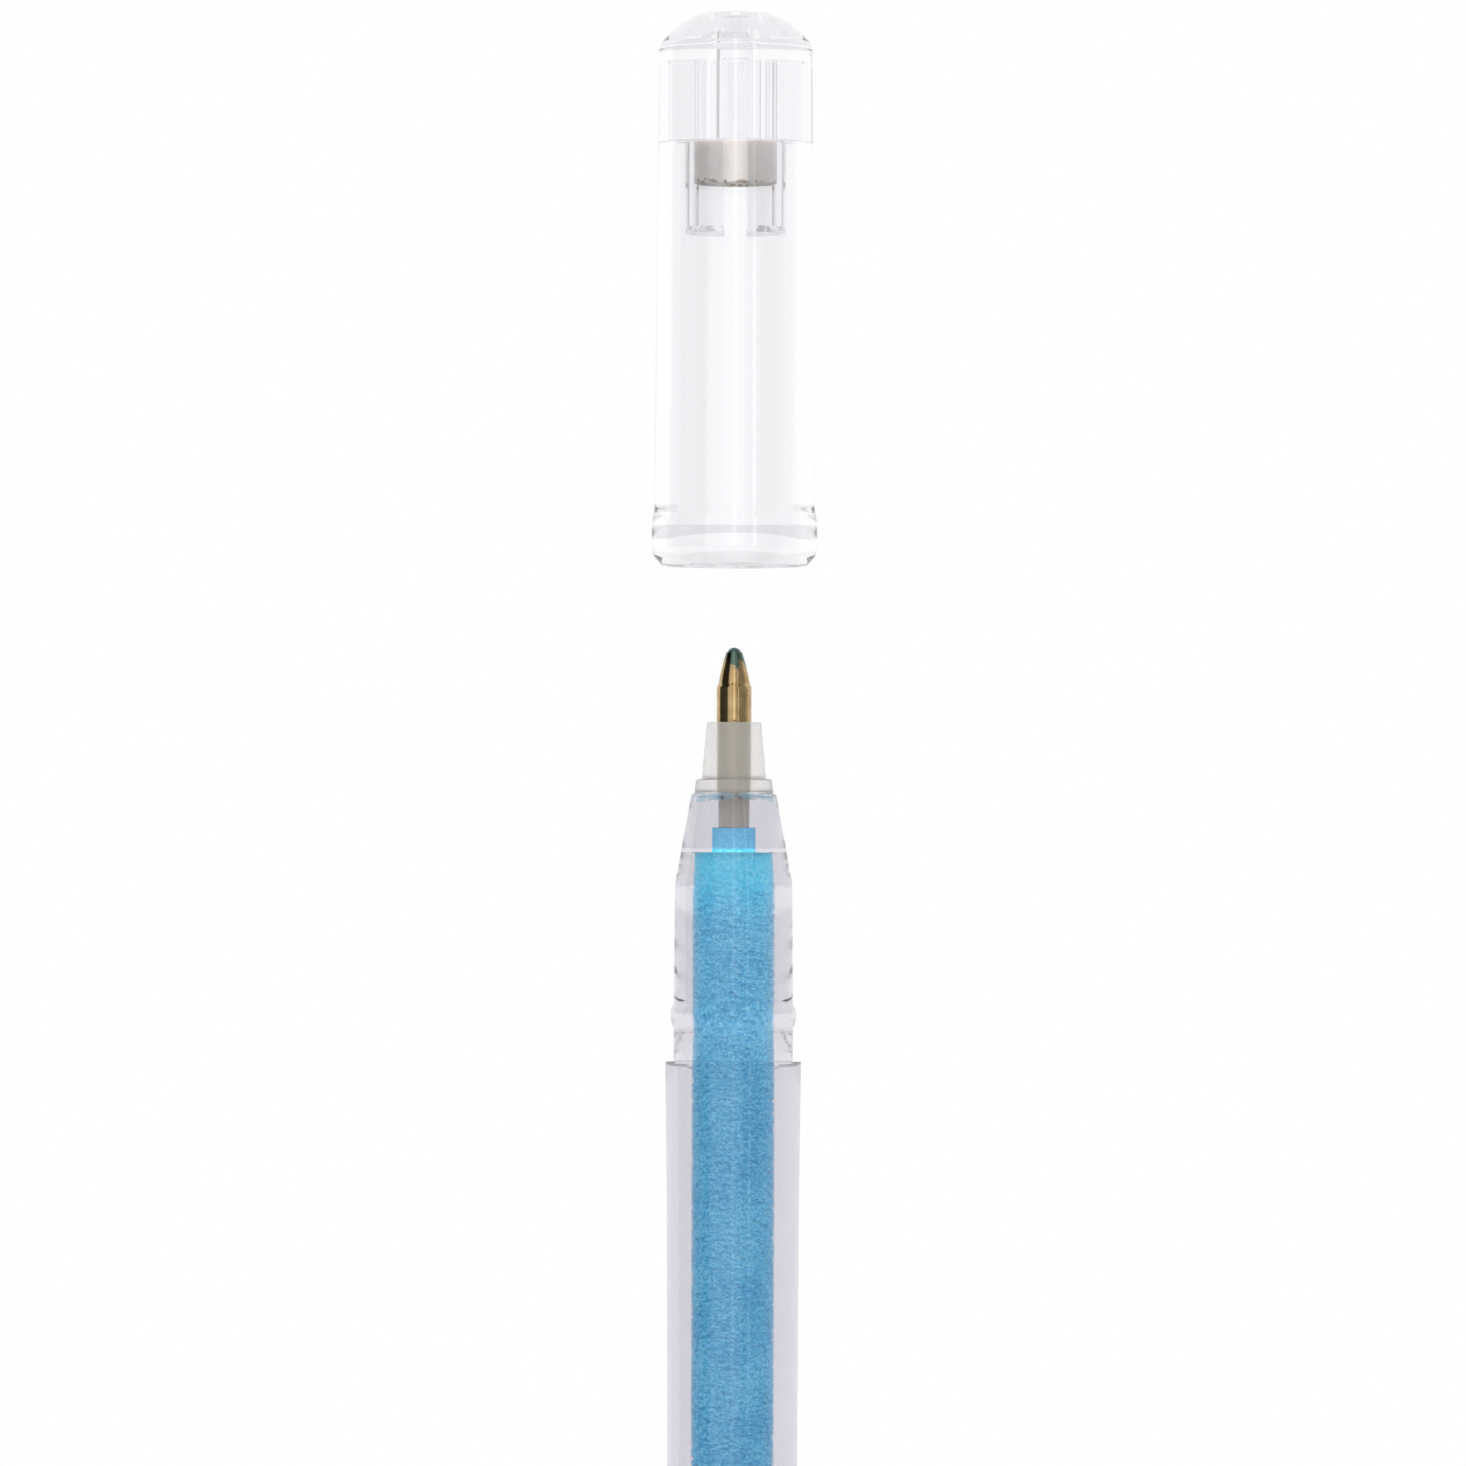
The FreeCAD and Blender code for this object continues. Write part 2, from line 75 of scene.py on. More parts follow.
def roundedOutline(corners, steps=6, guard=0.03, most=0.45):
    # corners are (radius, height) or (radius, height, rounding) in metres. Each rounding
    # gets a point just before and after it, so that the long faces stay evenly lit, and it
    # takes up no more than the share "most" of the lines beside it.
    points = []
    count = len(corners)
    for number, corner in enumerate(corners):
        here = Vector(corner[:2])
        if len(corner) == 2:
            points.append(here)
            continue
        before = Vector(corners[number - 1][:2]) - here
        after = Vector(corners[(number + 1) % count][:2]) - here
        reach = min(corner[2], before.length * most, after.length * most)
        first = here + before.normalized() * reach
        last = here + after.normalized() * reach
        points.append(here + before.normalized() * reach * (1 + guard))
        for step in range(steps + 1):
            share = step / steps
            points.append(first.lerp(here, share).lerp(here.lerp(last, share), share))
        points.append(here + after.normalized() * reach * (1 + guard))
    return points


def curvedRun(start, end, radius, steps):
    # Points between start and end on an arc. A positive radius bulges to the right.
    start, end = Vector(start), Vector(end)
    chord = end - start
    toLeft = Vector((-chord.y, chord.x)).normalized()
    rise = math.sqrt(radius ** 2 - (chord.length / 2) ** 2)
    side = 1 if radius > 0 else -1
    centre = start + chord / 2 + toLeft * side * rise
    spoke = start - centre
    turn = spoke.angle_signed(end - centre)
    run = []
    for step in range(1, steps):
        angle = -turn * step / steps
        across = spoke.x * math.cos(angle) - spoke.y * math.sin(angle)
        up = spoke.x * math.sin(angle) + spoke.y * math.cos(angle)
        run.append((centre.x + across, centre.y + up))
    return run


def turnedPiece(name, points, material, segments, sharpAngle=30):
    # Turns a closed outline about the pen's axis. The outline runs counter-clockwise with
    # the radius to the right, so that its faces point outwards.
    form = bmesh.new()
    rings = []
    for point in points:
        radius, height = point[0], point[1]
        if radius < onAxis:
            rings.append([form.verts.new((0, 0, height))])
            continue
        ring = []
        for segment in range(segments):
            angle = 2 * math.pi * segment / segments
            place = (radius * math.cos(angle), radius * math.sin(angle), height)
            ring.append(form.verts.new(place))
        rings.append(ring)
    for number, ring in enumerate(rings):
        following = rings[(number + 1) % len(rings)]
        if len(ring) == 1 and len(following) == 1:
            continue
        for segment in range(segments):
            ahead = (segment + 1) % segments
            corners = [ring[segment % len(ring)], ring[ahead % len(ring)]]
            corners += [following[ahead % len(following)], following[segment % len(following)]]
            kept = []
            for corner in corners:
                if corner not in kept:
                    kept.append(corner)
            form.faces.new(kept)
    form.normal_update()
    if form.calc_volume(signed=True) < 0:
        bmesh.ops.reverse_faces(form, faces=form.faces)
    return finishedPiece(name, meshOf(name, form), material, sharpAngle)


def meshOf(name, form):
    mesh = bpy.data.meshes.new(name)
    form.to_mesh(mesh)
    form.free()
    return mesh


def finishedPiece(name, mesh, material, sharpAngle=30):
    mesh.polygons.foreach_set("use_smooth", [True] * len(mesh.polygons))
    mesh.set_sharp_from_angle(angle=math.radians(sharpAngle))
    mesh.materials.clear()
    mesh.materials.append(material)
    piece = bpy.data.objects.new(name, mesh)
    bpy.context.scene.collection.objects.link(piece)
    return piece


def hand(piece, body, slot, *nodes):
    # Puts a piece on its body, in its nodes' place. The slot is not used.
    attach(piece, body)
    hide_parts(*nodes)


smooth = {"interpolation_type": "SMOOTHSTEP"}
inColour = {"data_type": "RGBA"}    # a mix node's inputs 6 and 7 are then its two colours


def linear(hexColour):
    # sRGB hex to the linear colour that a shader socket takes.
    channels = []
    for start in (1, 3, 5):
        value = int(hexColour[start:start + 2], 16) / 255
        channels.append(value / 12.92 if value <= 0.04045 else ((value + 0.055) / 1.055) ** 2.4)
    return (*channels, 1)


def connect(node, inputs):
    # An input takes a value, a socket, or another node's first enabled output.
    for key, value in inputs.items():
        if isinstance(value, bpy.types.Node):
            value = next(socket for socket in value.outputs if socket.enabled)
        if isinstance(value, bpy.types.NodeSocket):
            node.id_data.links.new(value, node.inputs[key])
        else:
            node.inputs[key].default_value = value


def addNode(tree, kind, settings=None, inputs=None):
    # Adds a node with its settings and links. A ramp's setting "stops" lists (place, colour).
    node = tree.nodes.new(kind)
    for key, value in (settings or {}).items():
        if key == "stops":
            band = node.color_ramp.elements
            band[0].position, band[0].color = value[0]
            band[1].position, band[1].color = value[-1]
            for place, colour in value[1:-1]:
                band.new(place).color = colour
        else:
            setattr(node, key, value)
    connect(node, inputs or {})
    return node


def newMaterial(name, inputs):
    material = bpy.data.materials.new(name)
    material.use_nodes = True
    tree = material.node_tree
    shader = tree.nodes["Principled BSDF"]
    connect(shader, inputs)
    return material, tree, shader


def grain(tree, spacing, detail=2.0, stretch=(1, 1, 1), rough=0.5):
    # Noise whose features are about spacing millimetres apart, in the piece's own space.
    place = addNode(tree, "ShaderNodeTexCoord").outputs["Object"]
    mapped = addNode(tree, "ShaderNodeMapping", None, {"Vector": place, "Scale": stretch})
    return addNode(tree, "ShaderNodeTexNoise", None, {
        "Vector": mapped, "Scale": 1 / (spacing * mm), "Detail": detail, "Roughness": rough})


def heightOf(tree):
    # The height along the pen.
    place = addNode(tree, "ShaderNodeTexCoord").outputs["Object"]
    return addNode(tree, "ShaderNodeSeparateXYZ", None, {"Vector": place}).outputs["Z"]


def radiusOf(tree):
    # The distance from the pen's axis.
    place = addNode(tree, "ShaderNodeTexCoord").outputs["Object"]
    flat = addNode(tree, "ShaderNodeVectorMath", {"operation": "MULTIPLY"},
                   {0: place, 1: (1.0, 1.0, 0.0)})
    return addNode(tree, "ShaderNodeVectorMath", {"operation": "LENGTH"}, {0: flat})


def clearPolystyrene():
    # Injection-moulded general-purpose polystyrene: water clear, high index, so edges and
    # inner walls draw fine dark lines; long faint draw marks from the mould.
    material, tree, shader = newMaterial("clearMouldedPolystyrene", {
        "Base Color": linear("#FBFBFC"), "Roughness": 0.0, "IOR": 1.59,
        "Transmission Weight": 1.0})
    drawMarks = grain(tree, spacing=1.4, stretch=(1, 1, 0.03))
    bump = addNode(tree, "ShaderNodeBump", None, {
        "Height": drawMarks, "Distance": 0.006 * mm, "Strength": 0.5})
    connect(shader, {"Normal": bump})
    return material


hazeSizes = {
    "boreLimit": 3.3,        # radius where the skin starts, along the body
    "noseLimit": 2.77,       # and ahead of the tube
    "soft": 0.08,
    "stainReach": 1.0,       # behind the front rim
    "stainFull": 0.4,
}


def frostedPolypropylene():
    # Injection-moulded clarified polypropylene: see-through, with a lilac-grey haze in its
    # outer skin, paler on the grip, a polished bore, and dried ink on the front rim.
    material, tree, shader = newMaterial("hazyMouldedPolypropylene", {
        "Roughness": 0.045, "IOR": 1.44, "Transmission Weight": 1.0})
    h = {key: value * mm for key, value in hazeSizes.items()}
    height = heightOf(tree)
    limit = addNode(tree, "ShaderNodeMapRange", smooth, {
        "Value": height, "From Min": shoulderHeight - h["soft"], "From Max": shoulderHeight,
        "To Min": h["boreLimit"], "To Max": h["noseLimit"]})
    skin = addNode(tree, "ShaderNodeMath", {"operation": "GREATER_THAN"},
                   {0: radiusOf(tree), 1: limit})
    bodyHaze = addNode(tree, "ShaderNodeValToRGB",
                       {"stops": [(0.3, linear("#D1CFD7")), (0.7, linear("#D5D3DA"))]},
                       {"Fac": grain(tree, spacing=1.2, detail=3.0)})
    gripFoot = barrelFront - barrelSizes["step"] * mm
    onGrip = addNode(tree, "ShaderNodeMapRange", smooth, {
        "Value": height, "From Min": gripFoot, "From Max": gripFoot + h["soft"]})
    haze = addNode(tree, "ShaderNodeMix", inColour,
                   {"Factor": onGrip, 6: bodyHaze, 7: linear("#E0DEE4")})
    plastic = addNode(tree, "ShaderNodeMix", inColour,
                      {"Factor": skin, 6: (1, 1, 1, 1), 7: haze})
    rim = addNode(tree, "ShaderNodeMapRange", smooth, {
        "Value": height, "From Min": barrelFront - h["stainReach"],
        "From Max": barrelFront - h["stainFull"]})
    patchy = addNode(tree, "ShaderNodeMath", {"operation": "MULTIPLY"},
                     {0: rim, 1: grain(tree, spacing=0.55, detail=3.0)})
    stain = addNode(tree, "ShaderNodeMapRange", smooth,
                    {"Value": patchy, "From Min": 0.42, "From Max": 0.5})
    colour = addNode(tree, "ShaderNodeMix", inColour,
                     {"Factor": stain, 6: plastic, 7: linear("#97AEBA")})
    clarity = addNode(tree, "ShaderNodeMath", {"operation": "MULTIPLY_ADD"},
                      {0: stain, 1: -0.35, 2: 1.0})
    bump = addNode(tree, "ShaderNodeBump", None, {
        "Height": grain(tree, spacing=0.35, detail=3.0), "Distance": 0.004 * mm,
        "Strength": 0.4})
    connect(shader, {"Base Color": colour, "Transmission Weight": clarity, "Normal": bump})
    return material


def milkyPolypropylene():
    # Natural moulded polypropylene in a thicker section: milky, with the metal behind it
    # showing as a soft shadow.
    material, tree, shader = newMaterial("milkyMouldedPolypropylene", {
        "Roughness": 0.22, "IOR": 1.49, "Transmission Weight": 0.83})
    tone = addNode(tree, "ShaderNodeValToRGB",
                   {"stops": [(0.3, linear("#F1EFEC")), (0.7, linear("#F6F4F1"))]},
                   {"Fac": grain(tree, spacing=0.8, detail=3.0)})
    bump = addNode(tree, "ShaderNodeBump", None, {
        "Height": grain(tree, spacing=0.3, detail=3.0), "Distance": 0.004 * mm,
        "Strength": 0.4})
    connect(shader, {"Base Color": tone, "Normal": bump})
    return material


def tubePolypropylene():
    # Extruded polypropylene tube: glossy and clear, with faint lines along its length.
    material, tree, shader = newMaterial("clearExtrudedPolypropylene", {
        "Base Color": linear("#FCFDFD"), "Roughness": 0.02, "IOR": 1.38,
        "Transmission Weight": 1.0})
    dieLines = grain(tree, spacing=0.25, stretch=(1, 1, 0.02))
    bump = addNode(tree, "ShaderNodeBump", None, {
        "Height": dieLines, "Distance": 0.003 * mm, "Strength": 0.4})
    connect(shader, {"Normal": bump})
    return material


gelSizes = {
    "paleFoot": 5.5,         # behind the tube's front, where the gel starts to pale
    "paleHead": 1.0,
    "feedSoft": 0.3,         # ahead of the tube's front
}


def gelInk():
    # Pigmented water gel: opaque pastel blue, greener and paler at its front end, with
    # darker flecks where the pigment clumps. In the nose's channel it is painted darker and
    # greyer, a painted shade.
    material, tree, shader = newMaterial("pigmentedGelInk", {"Roughness": 0.5, "IOR": 1.34})
    g = {key: value * mm for key, value in gelSizes.items()}
    cloud = addNode(tree, "ShaderNodeMath", {"operation": "MULTIPLY"},
                    {0: grain(tree, spacing=2.5), 1: 0.16})
    flecks = grain(tree, spacing=0.2, detail=4.0, stretch=(1, 1, 1.6), rough=0.7)
    mottle = addNode(tree, "ShaderNodeMath", {"operation": "MULTIPLY_ADD"},
                     {0: flecks, 1: 0.84, 2: cloud})
    deep = addNode(tree, "ShaderNodeValToRGB", {"stops": [
        (0.4, linear("#3D9ED2")), (0.5, linear("#56C2E7")), (0.6, linear("#8ADCF5"))]},
        {"Fac": mottle})
    pale = addNode(tree, "ShaderNodeValToRGB", {"stops": [
        (0.4, linear("#4FCBF2")), (0.5, linear("#52D4F4")), (0.6, linear("#84E8FC"))]},
        {"Fac": mottle})
    # Painted shade: a darker, greyer copy of the gel, for the ink deep in the nose's channel.
    feed = addNode(tree, "ShaderNodeValToRGB", {"stops": [
        (0.4, linear("#4C93B4")), (0.6, linear("#66A8C6"))]}, {"Fac": mottle})
    height = heightOf(tree)
    front = addNode(tree, "ShaderNodeMapRange", smooth, {
        "Value": height, "From Min": shoulderHeight - g["paleFoot"],
        "From Max": shoulderHeight - g["paleHead"]})
    column = addNode(tree, "ShaderNodeMix", inColour, {"Factor": front, 6: deep, 7: pale})
    # Where the painted shade of the channel's ink takes over, ahead of the tube's front.
    noseShadeMask = addNode(tree, "ShaderNodeMapRange", smooth, {
        "Value": height, "From Min": shoulderHeight,
        "From Max": shoulderHeight + g["feedSoft"]})
    colour = addNode(tree, "ShaderNodeMix", inColour, {"Factor": noseShadeMask, 6: column, 7: feed})
    bump = addNode(tree, "ShaderNodeBump", None, {
        "Height": grain(tree, spacing=0.18), "Distance": 0.01 * mm, "Strength": 0.5})
    connect(shader, {"Base Color": colour, "Normal": bump})
    return material


brassSizes = {
    "stainReach": 2.4,       # behind the lip
    "holderEdge": 0.02,
    "ringPitch": 0.2375,     # coarser than the tool's feed, so that the rings show
}
waveLength = 2 * math.pi / 20    # a wave texture of scale 1 repeats at this length


def turnedBrass():
    # Free-cutting brass, turned bright and left bare: greyed gold with sharp reflections,
    # fine tool rings and a few pits round it, dried ink near the ball, and painted shade: the
    # shank inside the holder is painted a duller, darker brass.
    material, tree, shader = newMaterial("brightTurnedBrass", {
        "Metallic": 1.0, "Roughness": 0.16})
    s = {key: value * mm for key, value in brassSizes.items()}
    height = heightOf(tree)
    reach = addNode(tree, "ShaderNodeMapRange", smooth, {
        "Value": height, "From Min": lipHeight - s["stainReach"], "From Max": lipHeight})
    patchy = addNode(tree, "ShaderNodeMath", {"operation": "MULTIPLY"},
                     {0: reach, 1: grain(tree, spacing=0.45, detail=5.0)})
    stain = addNode(tree, "ShaderNodeMapRange", smooth,
                    {"Value": patchy, "From Min": 0.28, "From Max": 0.42})
    tarnish = addNode(tree, "ShaderNodeValToRGB",
                      {"stops": [(0.3, linear("#A98A5E")), (0.7, linear("#C9B183"))]},
                      {"Fac": grain(tree, spacing=0.9, detail=3.0)})
    pits = addNode(tree, "ShaderNodeMapRange", smooth, {
        "Value": grain(tree, spacing=0.22, detail=1.0), "From Min": 0.7, "From Max": 0.74})
    pitted = addNode(tree, "ShaderNodeMix", inColour,
                     {"Factor": pits, 6: tarnish, 7: linear("#4A4030")})
    worn = addNode(tree, "ShaderNodeMix", inColour,
                   {"Factor": stain, 6: pitted, 7: linear("#5C7264")})
    # Painted shade: by height, the shank under the milky holder is painted a duller, darker
    # brass (#988F7B) in place of the holder's own shade.
    shankShadeMask = addNode(tree, "ShaderNodeMapRange", smooth, {
        "Value": height, "From Min": holderFace + s["holderEdge"],
        "From Max": holderFace - s["holderEdge"]})
    colour = addNode(tree, "ShaderNodeMix", inColour,
                     {"Factor": shankShadeMask, 6: worn, 7: linear("#988F7B")})
    place = addNode(tree, "ShaderNodeTexCoord").outputs["Object"]
    rings = addNode(tree, "ShaderNodeTexWave", {"bands_direction": "Z"}, {
        "Vector": place, "Scale": waveLength / s["ringPitch"], "Distortion": 0.4})
    bump = addNode(tree, "ShaderNodeBump", None, {
        "Height": rings.outputs["Fac"], "Distance": 0.001 * mm, "Strength": 0.3})
    connect(shader, {"Base Color": colour, "Normal": bump})
    return material


def carbideBall():
    # Ground tungsten carbide: dark grey metal, wet with ink in patches.
    material, tree, shader = newMaterial("groundTungstenCarbide", {
        "Metallic": 0.9, "Roughness": 0.25})
    wet = addNode(tree, "ShaderNodeValToRGB",
                  {"stops": [(0.42, linear("#5E6264")), (0.62, linear("#4E7776"))]},
                  {"Fac": grain(tree, spacing=0.3, detail=3.0)})
    connect(shader, {"Base Color": wet})
    return material


dirtSizes = {"reach": 1.3, "full": 0.2}    # above the seal's mouth


def sealElastomer():
    # Moulded thermoplastic elastomer: warm grey, satin, with ink dirt along its lower edge.
    material, tree, shader = newMaterial("mouldedElastomer", {
        "Roughness": 0.5, "Subsurface Weight": 0.2, "Subsurface Scale": 0.6 * mm})
    low = addNode(tree, "ShaderNodeMapRange", smooth, {
        "Value": heightOf(tree), "From Min": sealMouth + dirtSizes["reach"] * mm,
        "From Max": sealMouth + dirtSizes["full"] * mm})
    patchy = addNode(tree, "ShaderNodeMath", {"operation": "MULTIPLY"},
                     {0: low, 1: grain(tree, spacing=0.28, detail=3.0)})
    dirt = addNode(tree, "ShaderNodeMapRange", smooth,
                   {"Value": patchy, "From Min": 0.42, "From Max": 0.56})
    base = addNode(tree, "ShaderNodeValToRGB",
                   {"stops": [(0.3, linear("#D5CFC9")), (0.7, linear("#DBD6D0"))]},
                   {"Fac": grain(tree, spacing=0.8, detail=3.0)})
    colour = addNode(tree, "ShaderNodeMix", inColour,
                     {"Factor": dirt, 6: base, 7: linear("#8A7B5E")})
    bump = addNode(tree, "ShaderNodeBump", None, {
        "Height": grain(tree, spacing=0.2), "Distance": 0.01 * mm, "Strength": 0.4})
    connect(shader, {"Base Color": colour, "Normal": bump})
    return material


def plugPolypropylene():
    # Moulded polypropylene in the ink's blue, satin, with a fine spark-eroded texture.
    material, tree, shader = newMaterial("satinMouldedPolypropylene", {
        "Roughness": 0.38, "IOR": 1.49, "Subsurface Weight": 0.15,
        "Subsurface Scale": 1.0 * mm})
    tone = addNode(tree, "ShaderNodeValToRGB",
                   {"stops": [(0.3, linear("#3C7593")), (0.7, linear("#427C9A"))]},
                   {"Fac": grain(tree, spacing=1.5, detail=3.0)})
    bump = addNode(tree, "ShaderNodeBump", None, {
        "Height": grain(tree, spacing=0.15, detail=3.0), "Distance": 0.006 * mm,
        "Strength": 0.5})
    connect(shader, {"Base Color": tone, "Normal": bump})
    return material


def followerGrease():
    # Gelled polybutene: pale straw, cloudy, wet-looking.
    material, tree, shader = newMaterial("gelledFollowerGrease", {
        "Base Color": linear("#F1EFD8"), "Roughness": 0.2, "IOR": 1.5,
        "Transmission Weight": 0.6})
    bump = addNode(tree, "ShaderNodeBump", None, {
        "Height": grain(tree, spacing=0.5, detail=3.0), "Distance": 0.02 * mm,
        "Strength": 0.5})
    connect(shader, {"Normal": bump})
    return material


def floatResin():
    # Moulded polypropylene rod, white and satin.
    material, tree, shader = newMaterial("whiteMouldedResin", {
        "Base Color": linear("#F0F0EC"), "Roughness": 0.45})
    bump = addNode(tree, "ShaderNodeBump", None, {
        "Height": grain(tree, spacing=0.2), "Distance": 0.005 * mm, "Strength": 0.4})
    connect(shader, {"Normal": bump})
    return material


def drawnWire():
    # Drawn stainless spring wire: bright, with fine marks of the die.
    material, tree, shader = newMaterial("drawnStainlessWire", {
        "Base Color": linear("#C9C9CB"), "Metallic": 1.0, "Roughness": 0.22})
    bump = addNode(tree, "ShaderNodeBump", None, {
        "Height": grain(tree, spacing=0.05), "Distance": 0.001 * mm, "Strength": 0.3})
    connect(shader, {"Normal": bump})
    return material


polystyrene = clearPolystyrene()
milkyPlastic = milkyPolypropylene()
tubePlastic = tubePolypropylene()
ink = gelInk()
brass = turnedBrass()
carbide = carbideBall()
elastomer = sealElastomer()
plugPlastic = plugPolypropylene()
grease = followerGrease()
resin = floatResin()
wire = drawnWire()
print("materials ready")


# Radii, and lengths behind the front rim, in millimetres like every piece's sizes.
barrelSizes = {
    "bore": 3.2,
    "pocket": 2.75,
    "pocketEnd": 15.4,
    "pocketTaper": 3.5,
    "tubeGap": 0.015,        # keeps the pocket's end clear of the tube's
    "channel": 0.99,
    "spigotHole": 1.06,
    "nose": 2.79,
    "gripFront": 3.86,
    "grip": 3.93,
    "noseFoot": 5.9,
    "step": 17.6,
    "stepRadius": 4.47,
    "beadAhead": 3.0,
    "beadHalf": 0.8,
    "beadHeight": 0.2,
    "waist": 25.7,
    "waistRadius": 4.36,
    "straight": 50.4,
    "bodyRadius": 4.25,
    "rearInner": 0.1,        # from here on, the roundings
    "rearOuter": 0.12,
    "waistBlend": 4.0,
    "stepEdge": 0.04,
    "stepFoot": 0.06,
    "gripBlend": 0.5,
    "noseEdge": 0.2,
    "pocketBlend": 0.5,
}
hazyPlastic = frostedPolypropylene()


def makeBarrel():
    b = {key: value * mm for key, value in barrelSizes.items()}
    stepHeight = barrelFront - b["step"]
    pocketTop = shoulderHeight + b["tubeGap"]
    pocketFoot = barrelFront - b["pocketEnd"]
    bead = stepHeight + b["beadAhead"]
    beadCurve = (b["beadHalf"] ** 2 + b["beadHeight"] ** 2) / (2 * b["beadHeight"])
    beadFoot = (b["grip"], bead - b["beadHalf"])
    beadHead = (b["grip"], bead + b["beadHalf"])
    corners = [
        (b["bore"], barrelRear, b["rearInner"]),
        (b["bodyRadius"], barrelRear, b["rearOuter"]),
        (b["bodyRadius"], barrelFront - b["straight"], b["waistBlend"]),
        (b["waistRadius"], barrelFront - b["waist"], b["waistBlend"]),
        (b["stepRadius"], stepHeight, b["stepEdge"]),
        (b["grip"], stepHeight, b["stepFoot"]),
        beadFoot,
        *curvedRun(beadFoot, beadHead, beadCurve, steps=12),
        beadHead,
        (b["gripFront"], barrelFront - b["noseFoot"], b["gripBlend"]),
        (b["nose"], barrelFront, b["noseEdge"]),
        (b["spigotHole"], barrelFront),
        (b["spigotHole"], spigotFoot),
        (b["channel"], spigotFoot),
        (b["channel"], pocketTop),
        (b["pocket"], pocketTop),
        (b["pocket"], pocketFoot, b["pocketBlend"]),
        (b["bore"], pocketFoot - b["pocketTaper"], b["pocketBlend"]),
    ]
    piece = turnedPiece("frostedBarrel", roundedOutline(corners), hazyPlastic, segments=192)
    hand(piece, "pen", "frosted_polypropylene", "barrel")


makeBarrel()


tubeSizes = {"outer": 2.73, "bore": 1.83, "edge": 0.08}
inkSizes = {
    "sinkLeast": 0.004,      # into the tube's wall
    "sinkMost": 0.16,
    "around": 0.45,          # size of a clinging patch
    "along": 0.28,
    "calmReach": 2.8,        # from the front end, where the patches fade out
    "fineStep": 0.08,        # between rings
    "coarseStep": 0.25,
    "fineLength": 46.0,
}


def makeTube():
    t = {key: value * mm for key, value in tubeSizes.items()}
    corners = [
        (t["bore"], tubeFoot, t["edge"]),
        (t["outer"], tubeFoot, t["edge"]),
        (t["outer"], shoulderHeight, t["edge"]),
        (t["bore"], shoulderHeight, t["edge"]),
    ]
    piece = turnedPiece("inkTube", roundedOutline(corners), tubePlastic, segments=160)
    hand(piece, "pen", "tube_polypropylene", "ink_tube")


def inkHeights():
    # Ring heights from the rear end forward, closer together in the front length, where the
    # broken edge shows.
    heights = [shoulderHeight]
    while heights[-1] > inkFoot:
        near = shoulderHeight - heights[-1] < inkSizes["fineLength"] * mm
        step = inkSizes["fineStep"] if near else inkSizes["coarseStep"]
        heights.append(max(heights[-1] - step * mm, inkFoot))
    return heights[::-1]


def makeInk():
    # The gel clings to the bore unevenly, which breaks up its edge seen through the tube.
    s = {key: value * mm for key, value in inkSizes.items()}
    bore = tubeSizes["bore"] * mm
    segments = 96
    contrast = 1.8    # how steeply a patch rises from the wall
    form = bmesh.new()
    rings = []
    for height in inkHeights():
        ring = []
        calm = min(1, (shoulderHeight - height) / s["calmReach"])
        for segment in range(segments):
            angle = 2 * math.pi * segment / segments
            way = Vector((math.cos(angle), math.sin(angle), 0))
            spot = way * bore / s["around"] + Vector((0, 0, height / s["along"]))
            lump = min(1, max(0, 0.5 + contrast * noise.noise(spot)))
            reach = bore + s["sinkLeast"] + (s["sinkMost"] - s["sinkLeast"]) * lump * calm
            ring.append(form.verts.new(way * reach + Vector((0, 0, height))))
        rings.append(ring)
    for lower, upper in zip(rings, rings[1:]):
        for segment in range(segments):
            ahead = (segment + 1) % segments
            form.faces.new((lower[segment], lower[ahead], upper[ahead], upper[segment]))
    form.faces.new(list(reversed(rings[0])))
    form.faces.new(rings[-1])
    piece = finishedPiece("inkColumn", meshOf("inkColumn", form), ink)
    hand(piece, "pen", "blue_gel_ink", "ink_column")
    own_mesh(piece)


feedSizes = {"channel": 0.995, "core": 0.33, "coreEdge": 0.1, "overlap": 0.01}


def makeFeed():
    f = {key: value * mm for key, value in feedSizes.items()}
    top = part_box("ink_feed")[1][2]
    foot = shoulderHeight - f["overlap"]
    corners = [
        (0, foot),
        (f["channel"], foot),
        (f["channel"], spigotFoot),
        (f["core"], spigotFoot),
        (f["core"], top, f["coreEdge"]),
        (0, top),
    ]
    piece = turnedPiece("inkFeed", roundedOutline(corners), ink, segments=96)
    hand(piece, "pen", "blue_gel_ink", "ink_feed")


followerSizes = {"dish": 0.5, "greaseEdge": 0.1, "rodGap": 0.01, "rodFoot": 0.25,
                 "rodHead": 0.1}


def makeFollower():
    f = {key: value * mm for key, value in followerSizes.items()}
    greaseRadius = nodeRadius("follower_grease")
    floatRadius = nodeRadius("follower_float")
    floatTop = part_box("follower_float")[1][2]
    corners = [
        (floatRadius, greaseFoot + f["dish"]),
        (greaseRadius, greaseFoot, f["greaseEdge"]),
        (greaseRadius, inkFoot),
        (0, inkFoot),
        (0, floatTop),
        (floatRadius, floatTop),
    ]
    piece = turnedPiece("followerGrease", roundedOutline(corners), grease, segments=96)
    hand(piece, "follower", "follower_grease", "follower_grease")
    rod = floatRadius - f["rodGap"]
    rodTop = floatTop - f["rodGap"]
    corners = [
        (0, greaseFoot),
        (rod, greaseFoot, f["rodFoot"]),
        (rod, rodTop, f["rodHead"]),
        (0, rodTop),
    ]
    piece = turnedPiece("followerFloat", roundedOutline(corners), resin, segments=96)
    hand(piece, "follower", "float_resin", "follower_float")


makeTube()
makeInk()
makeFeed()
makeFollower()
print("barrel and refill ready")


plugSizes = {"head": 3.0, "edge": 0.6, "vent": 0.6, "ventEdge": 0.12, "headEdge": 0.08,
             "socket": 2.75, "socketEdge": 0.1, "spigot": 3.2, "spigotEdge": 0.25}


